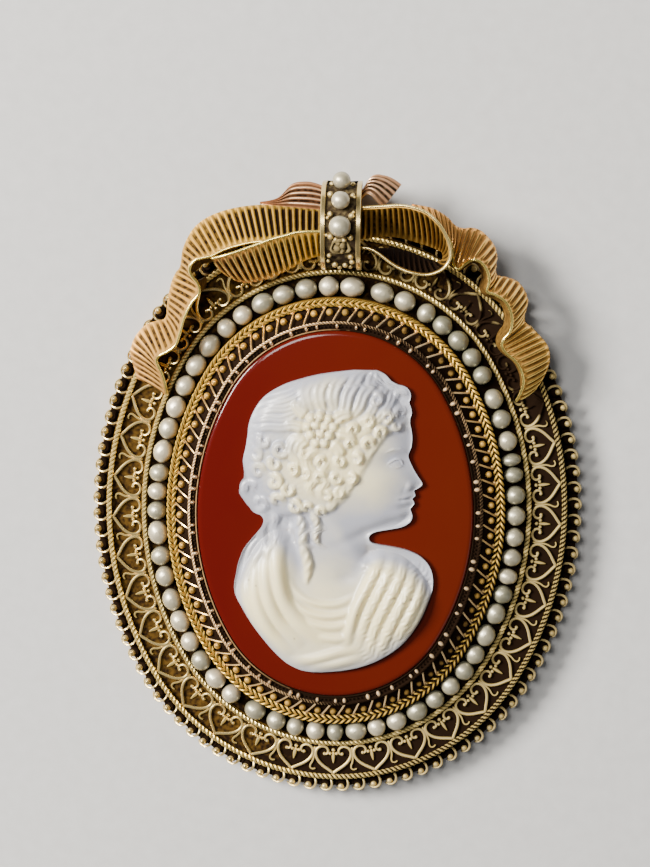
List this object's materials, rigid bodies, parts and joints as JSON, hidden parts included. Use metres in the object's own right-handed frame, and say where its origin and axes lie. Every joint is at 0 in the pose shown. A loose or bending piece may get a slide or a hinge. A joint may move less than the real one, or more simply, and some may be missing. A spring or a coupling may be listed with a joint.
{
  "type": "cameo pendant",
  "caption": "Oval cameo pendant: carved bust on red agate in a gold setting with seed pearls, wire filigree and a ribbon bow.",
  "frame": {"origin": "middle of the oval, on the flat back", "axes": "+Z out of the front of the stone, +Y up towards the bow, +X to the wearer's left as seen from the front"},
  "size_m": [0.0394, 0.051, 0.01],
  "materials": {
    "setting_gold": "tarnished gold sheet, dark in the recesses",
    "old_gold_wire": "fine beaded wire, brown tarnish between the beads",
    "yellow_gold_wire": "bright twisted wire",
    "pale_gold_wire": "pale twisted wire",
    "filigree_gold": "fine wire, bright on top and dark below",
    "grain_gold": "small polished grains, tarnished between",
    "ribbon_gold": "ribbed sheet, rose to yellow gold, satin",
    "rose_gold": "polished rose gold sheet",
    "knot_gold": "pale gold with dark recesses",
    "red_agate": "polished, translucent red-brown agate",
    "white_layer": "carved white layer, bluish where thin, soft polish",
    "seed_pearl": "lustrous seed pearl, cream to grey"
  },
  "bodies": {
    "root": {"setting": "setting_gold", "collet_wire": "old_gold_wire", "cameo_ground": "red_agate", "cameo_bust": "white_layer", "gallery_wires": "old_gold_wire", "chevron_rope": "yellow_gold_wire", "pearl_ring": "seed_pearl", "inner_rope": "pale_gold_wire", "filigree": "filigree_gold", "outer_rope": "filigree_gold", "outer_grains": "grain_gold", "loop_left": "ribbon_gold", "loop_right": "ribbon_gold", "streamer_left": "ribbon_gold", "streamer_right": "ribbon_gold", "back_loop_left": "rose_gold", "back_loop_right": "rose_gold", "knot_band": "knot_gold", "knot_pearls": "seed_pearl", "bail": "setting_gold"}
  },
  "joints": []
}
